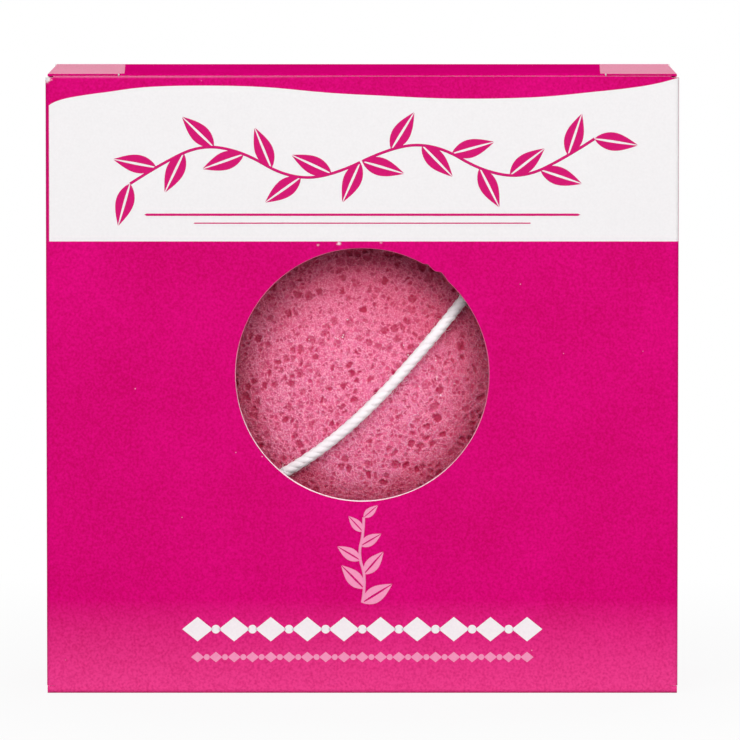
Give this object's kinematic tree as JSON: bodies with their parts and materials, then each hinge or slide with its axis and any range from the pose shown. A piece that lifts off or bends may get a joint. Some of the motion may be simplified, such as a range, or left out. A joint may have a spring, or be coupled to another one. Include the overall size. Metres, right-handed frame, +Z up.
{
  "type": "boxed konjac sponge",
  "caption": "Pink domed konjac sponge with a cotton string loop, in a magenta paperboard carton with a round window, tuck lids and dust flaps that fold open.",
  "frame": {"origin": "middle of the carton's base, on the surface it stands on", "axes": "+X to the right as the window is seen, +Y to the back, +Z up"},
  "size_m": [0.09, 0.038, 0.0884],
  "materials": {
    "printed_board": "satin",
    "konjac_sponge": "matte",
    "cotton_string": "matte"
  },
  "bodies": {
    "carton": {"front_panel": "printed_board", "back_panel": "printed_board", "left_side_panel": "printed_board", "right_side_panel": "printed_board", "glue_flap": "printed_board", "front_left_crease": "printed_board", "front_right_crease": "printed_board", "back_right_crease": "printed_board", "glue_flap_crease": "printed_board", "top_lid_crease": "printed_board", "top_left_dust_crease": "printed_board", "top_right_dust_crease": "printed_board", "bottom_lid_crease": "printed_board", "bottom_left_dust_crease": "printed_board", "bottom_right_dust_crease": "printed_board"},
    "top_lid": {"top_lid": "printed_board", "top_tuck_crease": "printed_board"},
    "top_tuck_flap": {"top_tuck_flap": "printed_board"},
    "top_left_dust_flap": {"top_left_dust_flap": "printed_board"},
    "top_right_dust_flap": {"top_right_dust_flap": "printed_board"},
    "bottom_lid": {"bottom_lid": "printed_board", "bottom_tuck_crease": "printed_board"},
    "bottom_tuck_flap": {"bottom_tuck_flap": "printed_board"},
    "bottom_left_dust_flap": {"bottom_left_dust_flap": "printed_board"},
    "bottom_right_dust_flap": {"bottom_right_dust_flap": "printed_board"},
    "sponge": {"sponge_body": "konjac_sponge", "string_loop": "cotton_string", "string_knot": "cotton_string"}
  },
  "joints": [
    {"name": "top_lid_open", "type": "hinge", "parent": "carton", "child": "top_lid", "pos_m": [0, 0.0184, 0.0878], "axis": [-1, 0, 0], "range_deg": [0, 165], "deforming": ["top_lid_crease"]},
    {"name": "top_tuck_fold", "type": "hinge", "parent": "top_lid", "child": "top_tuck_flap", "pos_m": [0, -0.01765, 0.0878], "axis": [1, 0, 0], "range_deg": [-7, 50], "deforming": ["top_tuck_crease"]},
    {"name": "top_left_dust_open", "type": "hinge", "parent": "carton", "child": "top_left_dust_flap", "pos_m": [-0.0444, 0, 0.08725], "axis": [0, -1, 0], "range_deg": [0, 116], "deforming": ["top_left_dust_crease"]},
    {"name": "top_right_dust_open", "type": "hinge", "parent": "carton", "child": "top_right_dust_flap", "pos_m": [0.0444, 0, 0.08725], "axis": [0, 1, 0], "range_deg": [0, 116], "deforming": ["top_right_dust_crease"]},
    {"name": "bottom_lid_open", "type": "hinge", "parent": "carton", "child": "bottom_lid", "pos_m": [0, -0.0184, 0.0006], "axis": [-1, 0, 0], "range_deg": [0, 165], "deforming": ["bottom_lid_crease"]},
    {"name": "bottom_tuck_fold", "type": "hinge", "parent": "bottom_lid", "child": "bottom_tuck_flap", "pos_m": [0, 0.01765, 0.0006], "axis": [1, 0, 0], "range_deg": [-7, 12], "deforming": ["bottom_tuck_crease"]},
    {"name": "bottom_left_dust_open", "type": "hinge", "parent": "carton", "child": "bottom_left_dust_flap", "pos_m": [-0.0444, 0, 0.00115], "axis": [0, 1, 0], "range_deg": [0, 116], "deforming": ["bottom_left_dust_crease"]},
    {"name": "bottom_right_dust_open", "type": "hinge", "parent": "carton", "child": "bottom_right_dust_flap", "pos_m": [0.0444, 0, 0.00115], "axis": [0, -1, 0], "range_deg": [0, 116], "deforming": ["bottom_right_dust_crease"]},
    {"name": "sponge_lift", "type": "slide", "parent": "carton", "child": "sponge", "axis": [0, 0, 1], "range_m": [0, 0.0547]}
  ],
  "couplings": [
    {"joint": "top_left_dust_open", "follows": "sponge_lift", "rad_per_m": 36.8},
    {"joint": "top_right_dust_open", "follows": "sponge_lift", "rad_per_m": 36.8},
    {"joint": "bottom_left_dust_open", "follows": "bottom_lid_open", "ratio": 0.7},
    {"joint": "bottom_right_dust_open", "follows": "bottom_lid_open", "ratio": 0.7},
    {"joint": "top_lid_open", "follows": "sponge_lift", "rad_per_m": 52.6}
  ]
}
